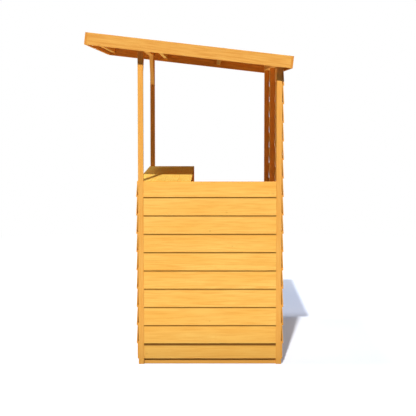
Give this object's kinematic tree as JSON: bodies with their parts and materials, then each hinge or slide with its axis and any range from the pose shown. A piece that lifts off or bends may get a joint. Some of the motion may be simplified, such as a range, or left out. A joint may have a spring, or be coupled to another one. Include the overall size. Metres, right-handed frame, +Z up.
{
  "type": "timber garden bar with a mono-pitch roof",
  "caption": "Free-standing timber bar shelter: clad front, back and one low side, a serving counter, an open end to walk in by, and a roof that falls to the back.",
  "frame": {"origin": "on the ground, under the middle of the roof's outline", "axes": "+Z up; +X to the right as seen from the front, -X is the open end; -Y is the front where the counter serves"},
  "size_m": [1.97, 1.2896, 2.0798],
  "materials": {
    "cladding_boards": "sawn softwood overlap boards with a golden honey stain, matt",
    "frame_timber": "planed softwood framing with a golden honey stain, matt",
    "counter_board": "smooth planed softwood board, honey stain, low sheen",
    "roof_edge_boards": "planed softwood barge boards and fascias, honey stain",
    "roof_boards": "matched softwood roof boards, honey stain",
    "roof_felt": "mineral-faced roofing felt, dark grey-green, rough"
  },
  "bodies": {
    "root": {"back_batten": "frame_timber", "back_fascia": "roof_edge_boards", "back_left_post": "frame_timber", "back_middle_batten": "frame_timber", "back_right_post": "frame_timber", "back_wall_boards": "cladding_boards", "back_wall_bottom_rail": "frame_timber", "back_wall_left_middle_rail": "frame_timber", "back_wall_left_stile": "frame_timber", "back_wall_right_middle_rail": "frame_timber", "back_wall_right_stile": "frame_timber", "back_wall_stud": "frame_timber", "back_wall_top_rail": "frame_timber", "counter_apron": "frame_timber", "counter_top": "counter_board", "front_batten": "frame_timber", "front_beam": "frame_timber", "front_fascia": "roof_edge_boards", "front_left_post": "frame_timber", "front_middle_batten": "frame_timber", "front_right_post": "frame_timber", "front_wall_boards": "cladding_boards", "front_wall_bottom_rail": "frame_timber", "front_wall_stud": "frame_timber", "front_wall_top_rail": "frame_timber", "left_barge_board": "roof_edge_boards", "left_brace": "frame_timber", "left_return_boards": "cladding_boards", "left_return_bottom_rail": "frame_timber", "left_return_stud": "frame_timber", "left_return_top_rail": "frame_timber", "right_barge_board": "roof_edge_boards", "right_brace": "frame_timber", "right_wall_boards": "cladding_boards", "right_wall_bottom_rail": "frame_timber", "right_wall_stud": "frame_timber", "right_wall_top_rail": "frame_timber", "roof_deck": "roof_boards", "roof_felt": "roof_felt"}
  },
  "joints": []
}
